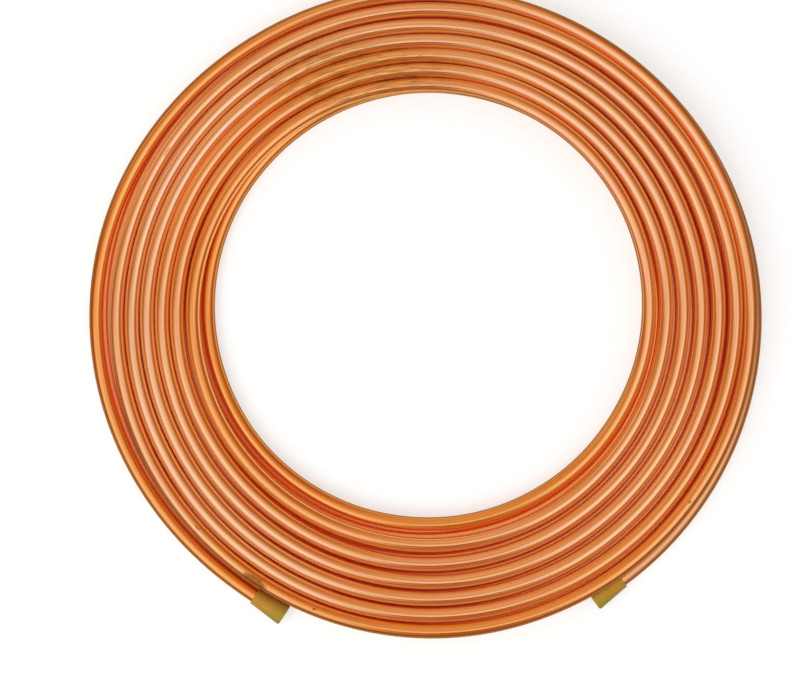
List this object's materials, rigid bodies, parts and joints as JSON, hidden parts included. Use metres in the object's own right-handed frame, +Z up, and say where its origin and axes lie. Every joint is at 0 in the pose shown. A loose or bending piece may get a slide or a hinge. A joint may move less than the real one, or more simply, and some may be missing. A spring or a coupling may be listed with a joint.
{
  "type": "copper tube coil",
  "caption": "Flat double-layer coil of soft copper tube round an open bore, with a translucent olive plastic cap on each loose end.",
  "frame": {"origin": "middle of the coil's footprint, on the plane that its lower layer rests on", "axes": "+Z up through the open bore, +X and -Y along the footprint, with both capped ends on the -Y side"},
  "size_m": [0.4504, 0.4344, 0.0191],
  "materials": {
    "copper": "bright drawn copper",
    "olive_vinyl": "soft translucent vinyl"
  },
  "bodies": {
    "root": {"copper_tube_coil": "copper", "end_cap_upper": "olive_vinyl", "end_cap_lower": "olive_vinyl"}
  },
  "joints": []
}
